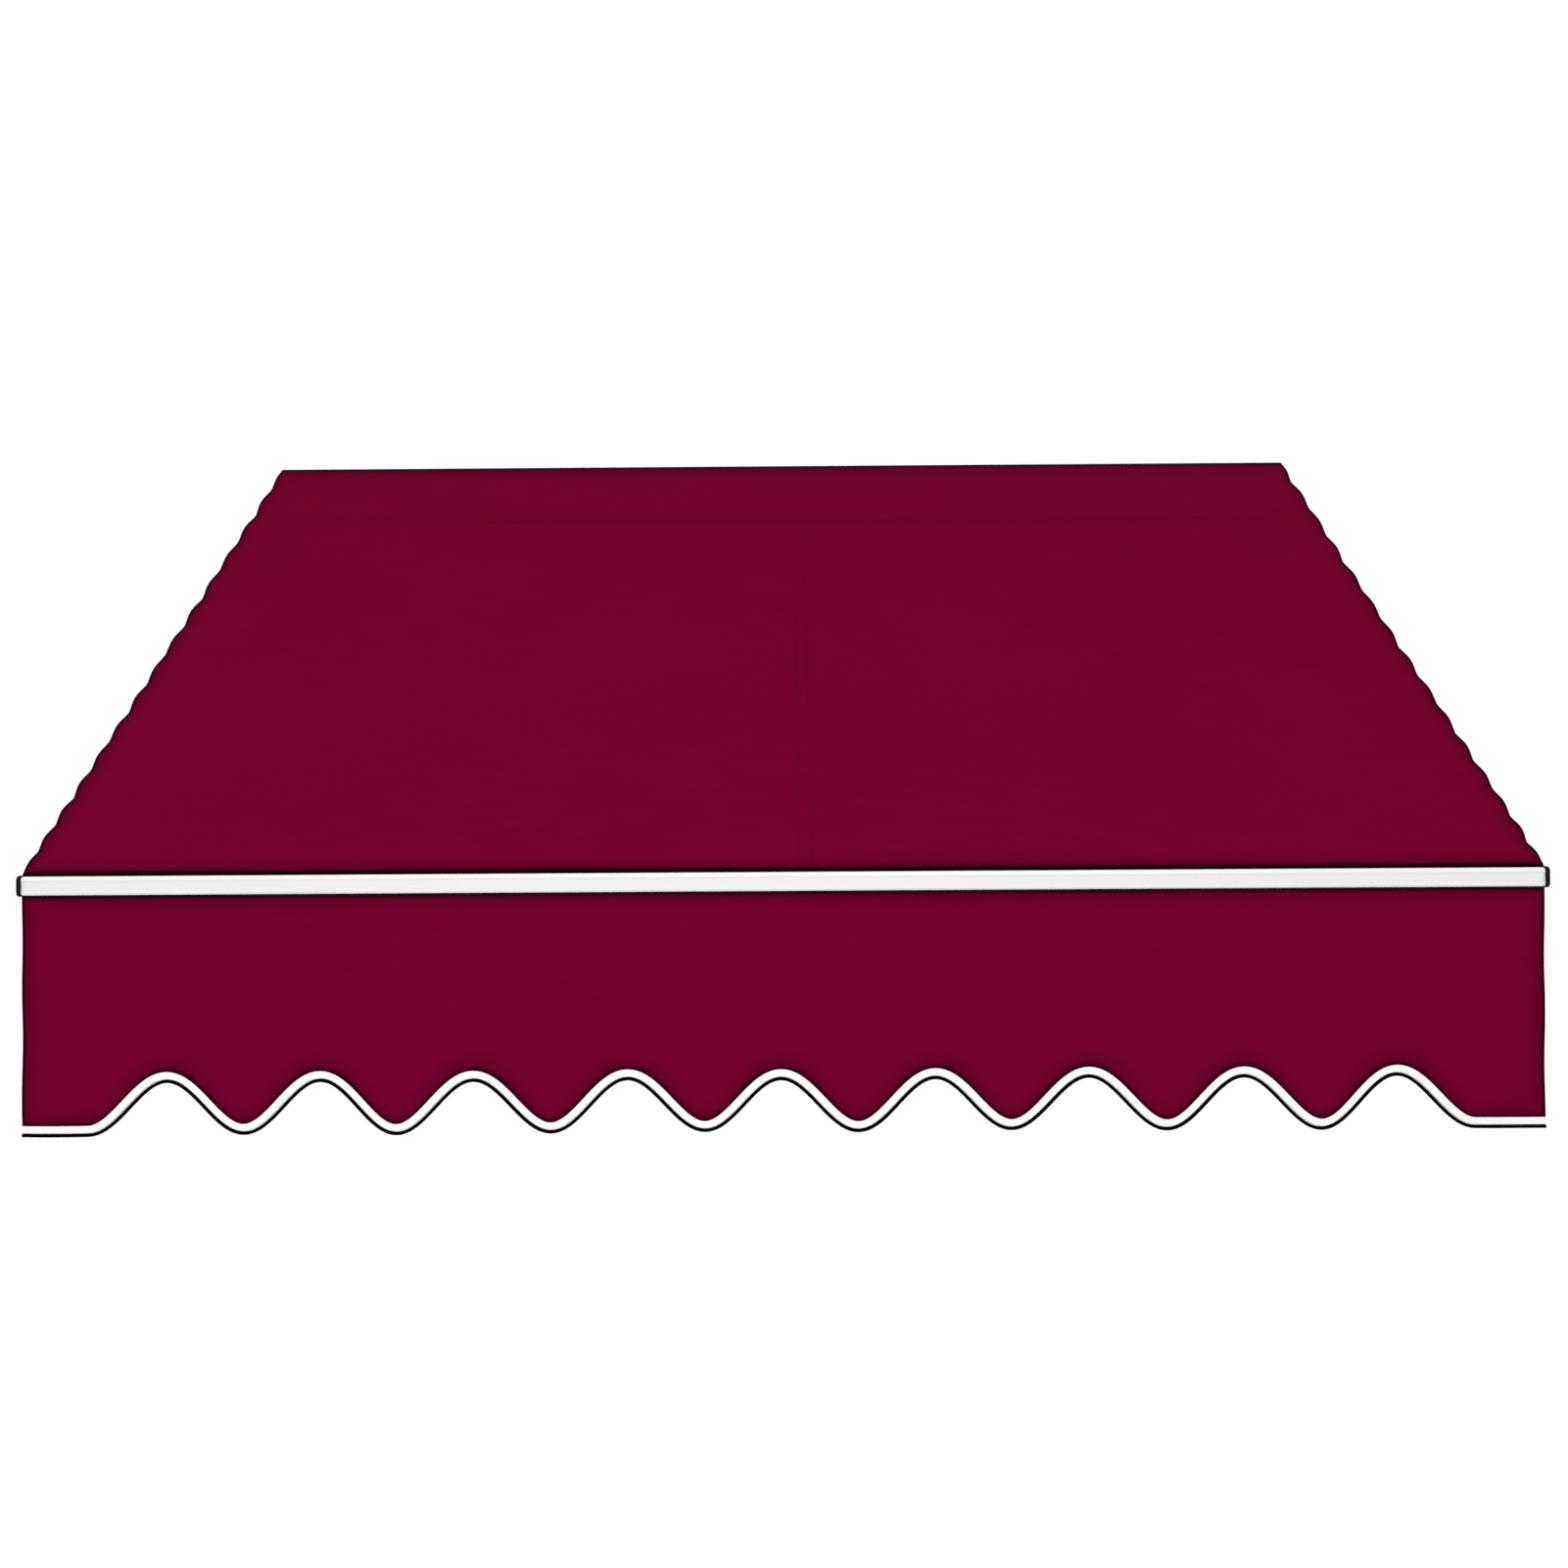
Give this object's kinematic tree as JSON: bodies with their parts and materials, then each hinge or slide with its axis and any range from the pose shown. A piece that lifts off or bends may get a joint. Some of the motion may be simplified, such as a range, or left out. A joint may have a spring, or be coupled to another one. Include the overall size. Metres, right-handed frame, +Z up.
{
  "type": "window awning",
  "caption": "Lift-up window awning: a burgundy canvas roof from a wall rod to a white front rail on hinged side arms, with a scalloped valance bound in white.",
  "frame": {"origin": "on the wall's surface, at the middle of the head rod's height, on the back of the centre head bracket", "axes": "+X along the wall to the right as seen from outside looking at the wall, +Y into the wall, +Z up; the awning stands out towards -Y"},
  "size_m": [1.8062, 0.771, 0.9871],
  "materials": {
    "canvas": "matt woven canvas, burgundy",
    "tape": "matt woven tape, white",
    "piping": "matt cord, near black",
    "white_coat": "satin white coat",
    "plastic": "satin white",
    "black_plastic": "satin black",
    "tube": "mill",
    "zinc": "zinc plated",
    "spline": "plain"
  },
  "bodies": {
    "root": {"arm_plate_left": "white_coat", "arm_plate_right": "white_coat", "arm_plate_screw_left_high": "zinc", "arm_plate_screw_left_low": "zinc", "arm_plate_screw_right_high": "zinc", "arm_plate_screw_right_low": "zinc", "head_bracket_centre": "zinc", "head_bracket_left": "zinc", "head_bracket_right": "zinc", "head_bracket_screw_centre_high": "zinc", "head_bracket_screw_centre_low": "zinc", "head_bracket_screw_left_high": "zinc", "head_bracket_screw_left_low": "zinc", "head_bracket_screw_right_high": "zinc", "head_bracket_screw_right_low": "zinc", "head_rod": "tube", "head_rod_cap_left": "plastic", "head_rod_cap_right": "plastic", "rod_screw_centre": "zinc", "rod_screw_left": "zinc", "rod_screw_right": "zinc", "roof_cover": "canvas", "wall_pin_left": "zinc", "wall_pin_nut_left": "zinc", "wall_pin_nut_right": "zinc", "wall_pin_right": "zinc"},
    "side_arms": {"arm_front_eye_left": "zinc", "arm_front_eye_right": "zinc", "arm_front_rivet_left": "zinc", "arm_front_rivet_right": "zinc", "arm_left": "white_coat", "arm_right": "white_coat", "arm_wall_eye_left": "zinc", "arm_wall_eye_right": "zinc", "arm_wall_rivet_left": "zinc", "arm_wall_rivet_right": "zinc"},
    "rail_set": {"front_rail": "white_coat", "knuckle_screw_left_inner": "zinc", "knuckle_screw_left_outer": "zinc", "knuckle_screw_right_inner": "zinc", "knuckle_screw_right_outer": "zinc", "rail_end_cap_left": "black_plastic", "rail_end_cap_right": "black_plastic", "rail_knuckle_left": "white_coat", "rail_knuckle_right": "white_coat", "rail_pin_left": "zinc", "rail_pin_nut_left": "zinc", "rail_pin_nut_right": "zinc", "rail_pin_right": "zinc", "roof_spline": "spline", "valance": "canvas", "valance_binding": "tape", "valance_piping": "piping", "valance_spline": "spline"}
  },
  "joints": [
    {"name": "frame_lift", "type": "hinge", "parent": "root", "child": "side_arms", "pos_m": [0, -0.028, -0.675], "axis": [-1, 0, 0], "range_deg": [0, 80], "deforming": ["roof_cover"]},
    {"name": "rail_tilt", "type": "hinge", "parent": "side_arms", "child": "rail_set", "pos_m": [0, -0.6787, -0.675], "axis": [-1, 0, 0], "range_deg": [-80, 0]}
  ],
  "couplings": [
    {"joint": "rail_tilt", "follows": "frame_lift", "ratio": -1}
  ]
}
